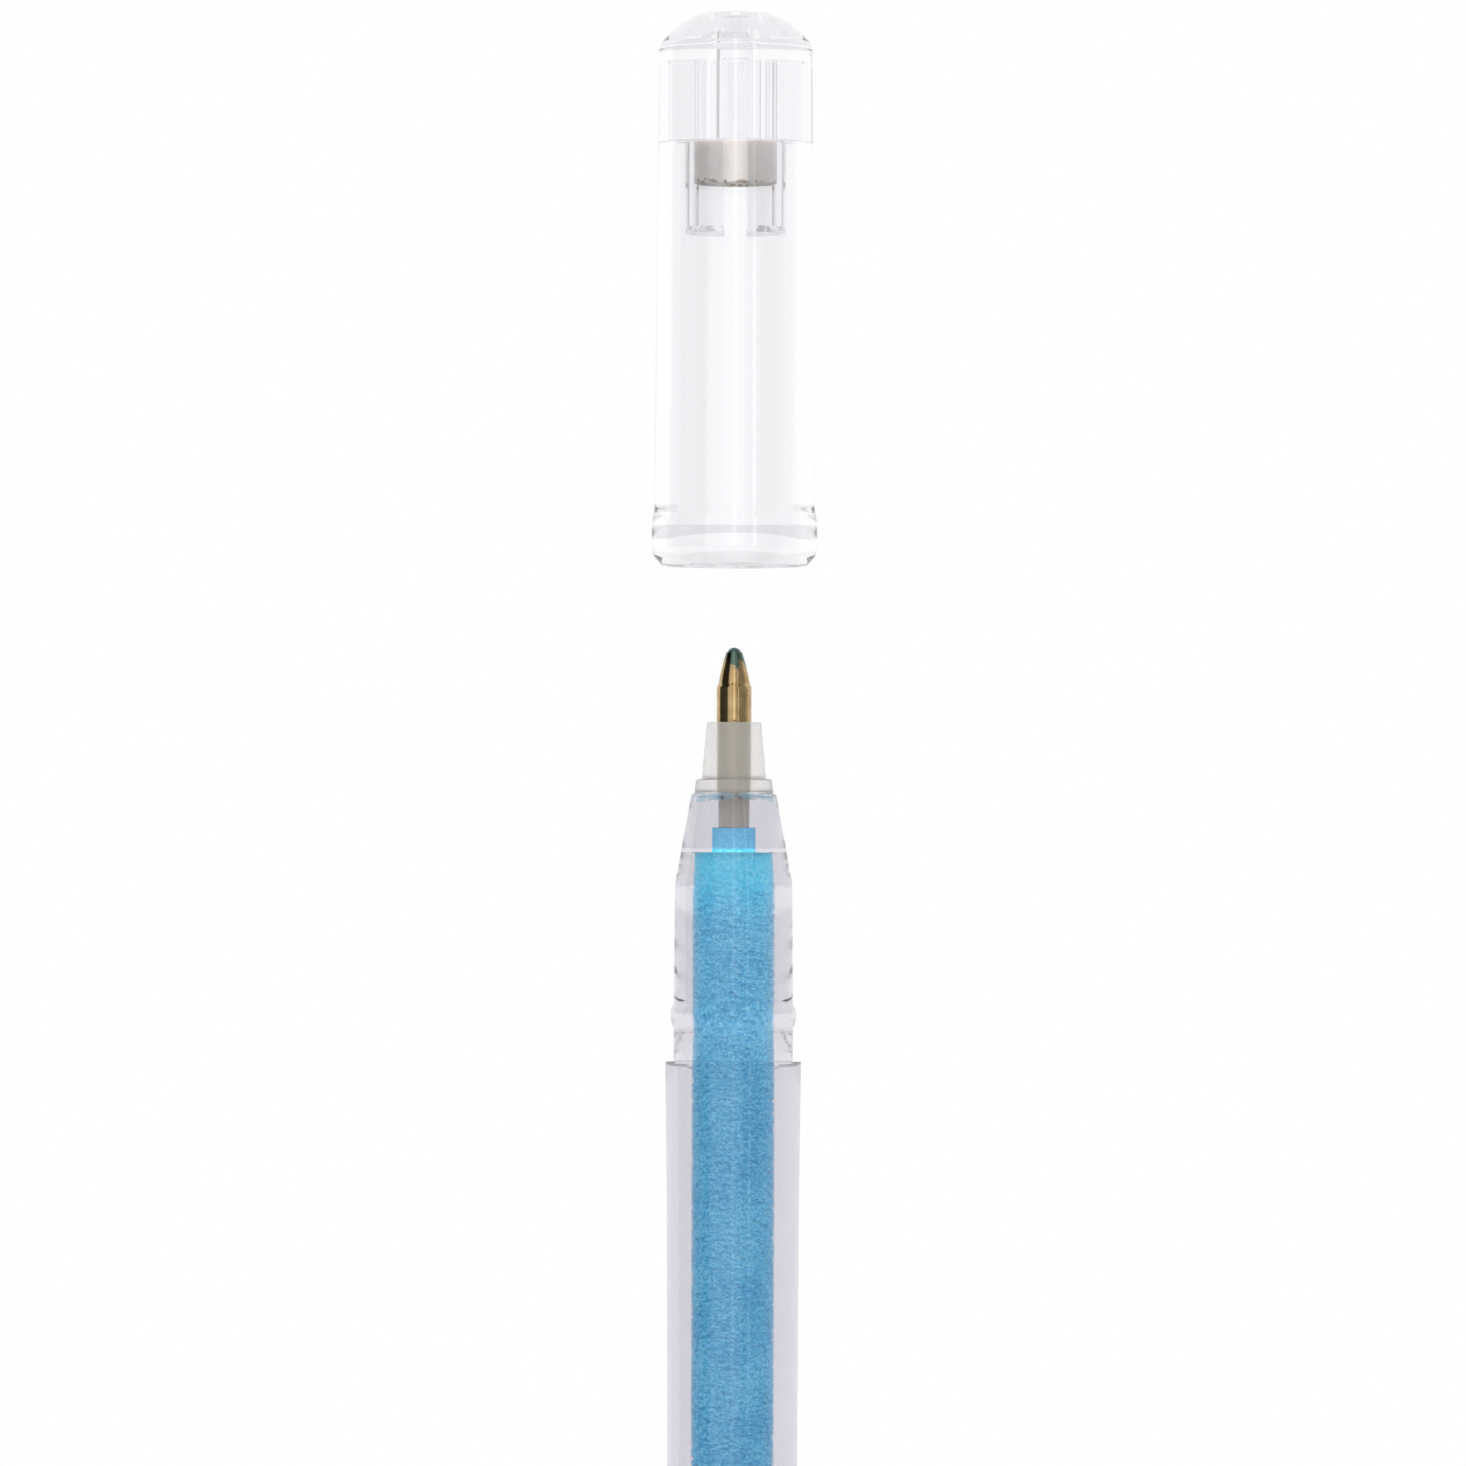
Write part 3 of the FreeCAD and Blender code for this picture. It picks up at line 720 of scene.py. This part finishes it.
def makeEndPlug():
    p = {key: value * mm for key, value in plugSizes.items()}
    body = barrelSizes["bodyRadius"] * mm
    corners = [
        (p["vent"], 0, p["ventEdge"]),
        (body, 0, p["edge"]),
        (body, p["head"], p["headEdge"]),
        (p["spigot"], p["head"]),
        (p["spigot"], plugTop, p["spigotEdge"]),
        (p["socket"], plugTop, p["socketEdge"]),
        (p["socket"], tubeFoot),
        (p["vent"], tubeFoot),
    ]
    piece = turnedPiece("endPlug", roundedOutline(corners), plugPlastic, segments=160)
    hand(piece, "pen", "blue_polypropylene", "end_plug")


makeEndPlug()


holderSizes = {
    "face": 1.79, "foot": 2.12, "flangeFront": 2.5, "flange": 2.61, "flangeHeight": 0.93,
    "spigot": 1.04, "bore": 0.75,
    "spigotEdge": 0.08, "flangeFoot": 0.06, "flangeEdge": 0.12, "footBlend": 0.1,
    "faceEdge": 0.1,
}


def makeHolder():
    h = {key: value * mm for key, value in holderSizes.items()}
    flangeTop = barrelFront + h["flangeHeight"]
    corners = [
        (h["bore"], spigotFoot),
        (h["spigot"], spigotFoot, h["spigotEdge"]),
        (h["spigot"], barrelFront),
        (h["flange"], barrelFront, h["flangeFoot"]),
        (h["flangeFront"], flangeTop, h["flangeEdge"]),
        (h["foot"], flangeTop, h["footBlend"]),
        (h["face"], holderFace, h["faceEdge"]),
        (h["bore"], holderFace),
    ]
    piece = turnedPiece("tipHolder", roundedOutline(corners), milkyPlastic, segments=160)
    hand(piece, "pen", "milky_polypropylene", "tip_holder")


tipSizes = {
    "lip": 0.53, "lipDrop": 0.02, "coneFoot": 1.045, "coneLength": 2.1, "coneCurve": 15.0,
    "collar": 1.15, "collarLength": 2.33, "collarFoot": 0.03, "collarEdge": 0.04,
    "shank": 0.754, "bore": 0.55, "crimp": 0.42, "crimpLength": 0.4, "socket": 0.52,
    "hole": 0.22, "web": 0.38,
}


def makeTip():
    t = {key: value * mm for key, value in tipSizes.items()}
    coneFoot = lipHeight - t["coneLength"]
    collarFront = holderFace + t["collarLength"]
    ballHeight = (apexHeight + ballFoot) / 2
    drop = lipHeight - ballHeight
    lipInner = math.sqrt(t["socket"] ** 2 - drop ** 2)
    seatDepth = math.sqrt(t["socket"] ** 2 - t["hole"] ** 2)
    boreTop = ballFoot - t["web"]
    crimpTop = spigotFoot + t["crimpLength"]
    coneEnd = (t["coneFoot"], coneFoot)
    lip = (t["lip"], lipHeight - t["lipDrop"])
    lipInside = (lipInner, lipHeight)
    seat = (t["hole"], ballHeight - seatDepth)
    corners = [
        (t["crimp"], spigotFoot),
        (t["shank"], spigotFoot),
        (t["shank"], holderFace),
        (t["collar"], holderFace, t["collarFoot"]),
        (t["collar"], collarFront, t["collarEdge"]),
        coneEnd,
        *curvedRun(coneEnd, lip, t["coneCurve"], steps=10),
        lip,
        lipInside,
        *curvedRun(lipInside, seat, -t["socket"], steps=10),
        seat,
        (t["hole"], boreTop),
        (t["bore"], boreTop),
        (t["bore"], crimpTop),
        (t["crimp"], crimpTop),
    ]
    piece = turnedPiece("brassTip", roundedOutline(corners), brass, segments=128, sharpAngle=40)
    hand(piece, "pen", "turned_brass", "tip_body")


def makeBall():
    centre = Vector((0, 0, (apexHeight + ballFoot) / 2))
    form = bmesh.new()
    bmesh.ops.create_uvsphere(form, u_segments=48, v_segments=32, radius=apexHeight - centre.z)
    bmesh.ops.translate(form, verts=form.verts, vec=centre)
    piece = finishedPiece("writingBall", meshOf("writingBall", form), carbide)
    hand(piece, "ball", "tungsten_carbide", "writing_ball")


makeHolder()
makeTip()
makeBall()
# The spring keeps its CAD mesh, which is a full coil, and takes the wire's finish.
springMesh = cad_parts["ball_spring"].data
springMesh.materials.clear()
springMesh.materials.append(wire)
print("tip ready")


# Radii, heights above the mouth and depths below the crown.
capSizes = {
    "bore": 3.98, "mouth": 4.15, "leadIn": 0.3, "groove": 4.3, "grooveHalf": 1.1,
    "groovePlace": 2.9, "mouthFace": 4.75, "mouthChamfer": 0.8, "band": 5.45,
    "bandHeight": 3.6, "bandTaper": 0.6, "skirt": 5.28, "shoulder": 5.06, "domeDrop": 2.13,
    "domeRadius": 6.3, "crownFlat": 2.25, "ventRim": 0.95, "ventWide": 1.17,
    "ventWideDepth": 1.3, "ventNeck": 1.02, "ventNeckDepth": 1.55, "vent": 1.08,
    "ventDepth": 2.5,
    "collet": 3.32, "colletBore": 2.76, "colletLength": 6.1, "colletChamfer": 0.45,
    # the roundings, from the mouth up the outside and down the inside
    "lipEdge": 0.1, "faceEdge": 0.2, "bandFoot": 0.4, "bandHead": 0.3, "shoulderEdge": 1.0,
    "crownEdge": 0.3, "rimEdge": 0.1, "wideEdge": 0.06, "neckEdge": 0.1, "ventEdge": 0.3,
    "colletEdge": 0.04, "colletFoot": 0.05, "ceilingEdge": 0.08, "grooveEdge": 0.3,
    "grooveRound": 0.6, "mouthEdge": 0.2,
}


def capLathe():
    c = {key: value * mm for key, value in capSizes.items()}
    chamferTop = mouthHeight + c["mouthChamfer"]
    bandTop = mouthHeight + c["bandHeight"]
    groove = mouthHeight + c["groovePlace"]
    colletMouth = ceilingHeight - c["colletLength"]
    shoulder = (c["shoulder"], crownHeight - c["domeDrop"])
    flat = (c["crownFlat"], crownHeight)
    dome = curvedRun(shoulder, flat, c["domeRadius"], steps=16)
    corners = [
        (c["mouth"] + c["leadIn"], mouthHeight, c["lipEdge"]),
        (c["mouthFace"], mouthHeight, c["faceEdge"]),
        (c["band"], chamferTop, c["bandFoot"]),
        (c["band"], bandTop - c["bandTaper"], c["bandHead"]),
        (c["skirt"], bandTop, c["bandHead"]),
        (*shoulder, c["shoulderEdge"]),
        *dome[2:],    # the first two lie in the shoulder's rounding
        (*flat, c["crownEdge"]),
        (c["ventRim"], crownHeight, c["rimEdge"]),
        (c["ventWide"], crownHeight - c["ventWideDepth"], c["wideEdge"]),
        (c["ventNeck"], crownHeight - c["ventNeckDepth"], c["neckEdge"]),
        (c["vent"], crownHeight - c["ventDepth"], c["ventEdge"]),
        (c["vent"], ceilingHeight),
        (c["colletBore"], ceilingHeight),
        (c["colletBore"], colletMouth + c["colletChamfer"]),
        (c["colletBore"] + c["colletChamfer"], colletMouth),
        (c["collet"], colletMouth, c["colletEdge"]),
        (c["collet"], ceilingHeight, c["colletFoot"]),
        (c["bore"], ceilingHeight, c["ceilingEdge"]),
        (c["bore"], groove + c["grooveHalf"], c["grooveEdge"]),
        (c["groove"], groove, c["grooveRound"]),
        (c["mouth"], groove - c["grooveHalf"], c["mouthEdge"]),
        (c["mouth"], mouthHeight + c["leadIn"], c["lipEdge"]),
    ]
    return turnedPiece("capLathe", roundedOutline(corners), polystyrene, segments=192)


def channelTree():
    # Cuts the air channels: a block from the crown's web down through the collet, repeated
    # round the axis.
    tree = bpy.data.node_groups.new("airChannels", "GeometryNodeTree")
    face = tree.interface
    face.new_socket("Geometry", in_out="INPUT", socket_type="NodeSocketGeometry")
    for name in ("Half Width", "Inner", "Outer", "Top", "Bottom"):
        face.new_socket(name, in_out="INPUT", socket_type="NodeSocketFloat")
    face.new_socket("Count", in_out="INPUT", socket_type="NodeSocketInt")
    face.new_socket("Material", in_out="INPUT", socket_type="NodeSocketMaterial")
    face.new_socket("Geometry", in_out="OUTPUT", socket_type="NodeSocketGeometry")
    given = addNode(tree, "NodeGroupInput").outputs
    across = addNode(tree, "ShaderNodeMath", {"operation": "ADD"},
                     {0: given["Outer"], 1: given["Inner"]})
    upward = addNode(tree, "ShaderNodeMath", {"operation": "ADD"},
                     {0: given["Top"], 1: given["Bottom"]})
    measure = addNode(tree, "ShaderNodeCombineXYZ", None, {
        "X": addNode(tree, "ShaderNodeMath", {"operation": "SUBTRACT"},
                     {0: given["Outer"], 1: given["Inner"]}),
        "Y": addNode(tree, "ShaderNodeMath", {"operation": "MULTIPLY"},
                     {0: given["Half Width"], 1: 2.0}),
        "Z": addNode(tree, "ShaderNodeMath", {"operation": "SUBTRACT"},
                     {0: given["Top"], 1: given["Bottom"]})})
    middle = addNode(tree, "ShaderNodeCombineXYZ", None, {
        "X": addNode(tree, "ShaderNodeMath", {"operation": "MULTIPLY"}, {0: across, 1: 0.5}),
        "Z": addNode(tree, "ShaderNodeMath", {"operation": "MULTIPLY"}, {0: upward, 1: 0.5})})
    block = addNode(tree, "GeometryNodeMeshCube", None, {"Size": measure})
    moved = addNode(tree, "GeometryNodeTransform", None,
                    {"Geometry": block, "Translation": middle})
    points = addNode(tree, "GeometryNodePoints", None, {"Count": given["Count"]})
    share = addNode(tree, "ShaderNodeMath", {"operation": "DIVIDE"},
                    {0: addNode(tree, "GeometryNodeInputIndex"), 1: given["Count"]})
    turn = addNode(tree, "ShaderNodeMath", {"operation": "MULTIPLY"},
                   {0: share, 1: 2 * math.pi})
    angle = addNode(tree, "ShaderNodeCombineXYZ", None, {"Z": turn})
    ring = addNode(tree, "GeometryNodeInstanceOnPoints", None,
                   {"Points": points, "Instance": moved, "Rotation": angle})
    blocks = addNode(tree, "GeometryNodeRealizeInstances", None, {"Geometry": ring})
    cut = addNode(tree, "GeometryNodeMeshBoolean",
                  {"operation": "DIFFERENCE", "solver": "EXACT"},
                  {"Mesh 1": given["Geometry"], "Mesh 2": blocks})
    whole = addNode(tree, "GeometryNodeRealizeInstances", None, {"Geometry": cut})
    finish = addNode(tree, "GeometryNodeSetMaterial", None,
                     {"Geometry": whole, "Material": given["Material"]})
    addNode(tree, "NodeGroupOutput", None, {"Geometry": finish})
    return tree


def withTree(piece, tree, values):
    # Runs a node tree on a piece and gives back the plain mesh.
    modifier = piece.modifiers.new(tree.name, "NODES")
    modifier.node_group = tree
    for item in tree.interface.items_tree:
        if item.in_out == "INPUT" and item.name in values:
            modifier[item.identifier] = values[item.name]
    bpy.context.view_layer.update()
    graph = bpy.context.evaluated_depsgraph_get()
    mesh = bpy.data.meshes.new_from_object(piece.evaluated_get(graph))
    bpy.data.objects.remove(piece)
    return mesh


channelSizes = {"halfWidth": 0.78, "inner": 1.35, "outer": 3.37, "top": 3.2,
                "bottom": 14.8}    # top and bottom are below the crown
channelCount = 4


def makeCap():
    c = {key: value * mm for key, value in channelSizes.items()}
    values = {"Half Width": c["halfWidth"], "Inner": c["inner"], "Outer": c["outer"],
              "Top": crownHeight - c["top"], "Bottom": crownHeight - c["bottom"],
              "Count": channelCount, "Material": polystyrene}
    mesh = withTree(capLathe(), channelTree(), values)
    mesh.name = "clearCap"
    piece = finishedPiece("clearCap", mesh, polystyrene, sharpAngle=25)
    hand(piece, "cap", "clear_polystyrene", "cap")


sealSizes = {"web": 0.7, "rise": 0.25, "mouth": 1.165, "mouthEdge": 0.1, "outerEdge": 0.15,
             "topGap": 0.01, "topEdge": 0.1, "seat": 0.65, "seatEdge": 0.15}


def makeSeal():
    s = {key: value * mm for key, value in sealSizes.items()}
    radius = nodeRadius("tip_seal")
    top = ceilingHeight - s["topGap"]
    floor = ceilingHeight - s["web"]
    foot = sealMouth + s["rise"]
    corners = [
        (s["mouth"], foot, s["mouthEdge"]),
        (radius, foot, s["outerEdge"]),
        (radius, top, s["topEdge"]),
        (0, top),
        (0, floor),
        (s["seat"], floor, s["seatEdge"]),
    ]
    piece = turnedPiece("capSeal", roundedOutline(corners), elastomer, segments=160)
    hand(piece, "cap", "seal_elastomer", "tip_seal")


makeCap()
makeSeal()
print("cap ready")


def makeFloor():
    form = bmesh.new()
    bmesh.ops.create_circle(form, cap_ends=True, segments=128, radius=2.5)
    mesh = meshOf("floor", form)
    material, tree, shader = newMaterial("matteFloorPaint", {"Roughness": 0.9})
    tone = addNode(tree, "ShaderNodeValToRGB",
                   {"stops": [(0.3, linear("#8E8E8F")), (0.7, linear("#939394"))]},
                   {"Fac": grain(tree, spacing=12, detail=3.0)})
    connect(shader, {"Base Color": tone})
    mesh.materials.append(material)
    floor = bpy.data.objects.new("floor", mesh)
    bpy.context.scene.collection.objects.link(floor)


tentLevels = {
    # what polished metal and gloss reflect, by bearing in degrees from the front
    "mirrored": [(-180, 1.0), (-112, 1.0), (-104, 0.03), (-44, 0.03), (-38, 1.0), (-3.5, 1.0),
                 (-1.5, 2.4), (1.5, 2.4), (3.5, 1.0), (12, 1.0), (18, 0.4), (25, 0.4),
                 (27, 1.9), (29, 1.9), (31, 0.4), (80, 0.35), (110, 1.0), (180, 1.0)],
    # what is seen through the plastics
    "through": [(-180, 1.0), (-110, 1.0), (-96, 0.5), (-54, 0.5), (-42, 1.0), (16, 1.0),
                (28, 0.65), (76, 0.65), (98, 1.0), (180, 1.0)],
    "soft": 3.4,             # what lights the dull faces
    "steep": 0.88,           # what is left through the plastics, well above or below the pen
    "steepFrom": 0.25,
    "steepFull": 0.5,
    "coolness": 1.01,        # blue over red
    "strength": 1.03,
}


def makeWorld():
    # A white studio tent, brighter or darker by the bearing round the pen: white behind it,
    # two brighter strips near the front, a dark flag on the left and a grey one on the right.
    world = bpy.data.worlds.new("studioTent")
    bpy.context.scene.world = world
    world.use_nodes = True
    tree = world.node_tree
    tree.nodes.clear()
    way = addNode(tree, "ShaderNodeTexCoord").outputs["Generated"]
    parts = addNode(tree, "ShaderNodeSeparateXYZ", None, {"Vector": way}).outputs
    toFront = addNode(tree, "ShaderNodeMath", {"operation": "MULTIPLY"},
                      {0: parts["Y"], 1: -1.0})
    bearing = addNode(tree, "ShaderNodeMath", {"operation": "ARCTAN2"},
                      {0: parts["X"], 1: toFront})
    turn = addNode(tree, "ShaderNodeMapRange", None, {
        "Value": bearing, "From Min": -math.pi, "From Max": math.pi})

    def white(level):
        return (level, level, level * tentLevels["coolness"], 1)

    def stops(levels):
        return [((degrees + 180) / 360, white(level)) for degrees, level in levels]

    mirrored = addNode(tree, "ShaderNodeValToRGB",
                       {"stops": stops(tentLevels["mirrored"])}, {"Fac": turn})
    behind = addNode(tree, "ShaderNodeValToRGB",
                     {"stops": stops(tentLevels["through"])}, {"Fac": turn})
    rise = addNode(tree, "ShaderNodeMath", {"operation": "ABSOLUTE"}, {0: parts["Z"]})
    steep = addNode(tree, "ShaderNodeMapRange", smooth, {
        "Value": rise, "From Min": tentLevels["steepFrom"],
        "From Max": tentLevels["steepFull"], "To Min": 1.0, "To Max": tentLevels["steep"]})
    through = addNode(tree, "ShaderNodeMix", inColour,
                      {"Factor": steep, 6: (0, 0, 0, 1), 7: behind})
    path = addNode(tree, "ShaderNodeLightPath").outputs
    mirror = addNode(tree, "ShaderNodeMath", {"operation": "MULTIPLY"},
                     {0: path["Is Glossy Ray"], 1: path["Is Reflection Ray"]})
    sharp = addNode(tree, "ShaderNodeMix", inColour,
                    {"Factor": mirror, 6: through, 7: mirrored})
    dull = addNode(tree, "ShaderNodeMath", {"operation": "GREATER_THAN"},
                   {0: path["Diffuse Depth"], 1: 0.5})
    tent = addNode(tree, "ShaderNodeMix", inColour,
                   {"Factor": dull, 6: sharp, 7: white(tentLevels["soft"])})
    light = addNode(tree, "ShaderNodeBackground", None,
                    {"Color": tent, "Strength": tentLevels["strength"]})
    paper = addNode(tree, "ShaderNodeBackground", None,
                    {"Color": (1, 1, 1, 1), "Strength": 1.0})
    seen = addNode(tree, "ShaderNodeMixShader", None,
                   {0: path["Is Camera Ray"], 1: light, 2: paper})
    addNode(tree, "ShaderNodeOutputWorld", None, {"Surface": seen})


cameraSizes = {
    "distance": 990,
    "eyeBelowApex": 29.7,
    "aimBelowApex": 5.62,
    "aside": -0.07,
    "bearing": 0.0,          # degrees
    "roll": 0.15,
    "lens": 370,             # millimetres on the sensor, as is its width
    "sensor": 36,
}


def makeCamera():
    s = cameraSizes
    bearing = math.radians(s["bearing"])
    level = Vector((math.sin(bearing), -math.cos(bearing), 0))
    aside = Vector((math.cos(bearing), math.sin(bearing), 0)) * s["aside"] * mm
    apex = Vector((0, 0, apexHeight)) + aside
    eye = apex + level * s["distance"] * mm - Vector((0, 0, s["eyeBelowApex"] * mm))
    aim = apex - Vector((0, 0, s["aimBelowApex"] * mm))
    data = bpy.data.cameras.new("studioCamera")
    data.lens = s["lens"]
    data.sensor_width = s["sensor"]
    camera = bpy.data.objects.new("studioCamera", data)
    camera.location = eye
    look = (aim - eye).to_track_quat("-Z", "Y").to_matrix()
    camera.rotation_euler = (look @ Matrix.Rotation(math.radians(s["roll"]), 3, "Z")).to_euler()
    bpy.context.scene.collection.objects.link(camera)
    bpy.context.scene.camera = camera


makeFloor()
makeWorld()
makeCamera()
bpy.context.scene.view_settings.view_transform = "Standard"
lightBounces = {"max_bounces": 32, "transmission_bounces": 32, "glossy_bounces": 32,
                "diffuse_bounces": 8}    # light crosses many walls of clear plastic
for name, count in lightBounces.items():
    setattr(bpy.context.scene.cycles, name, count)
print("stage ready")
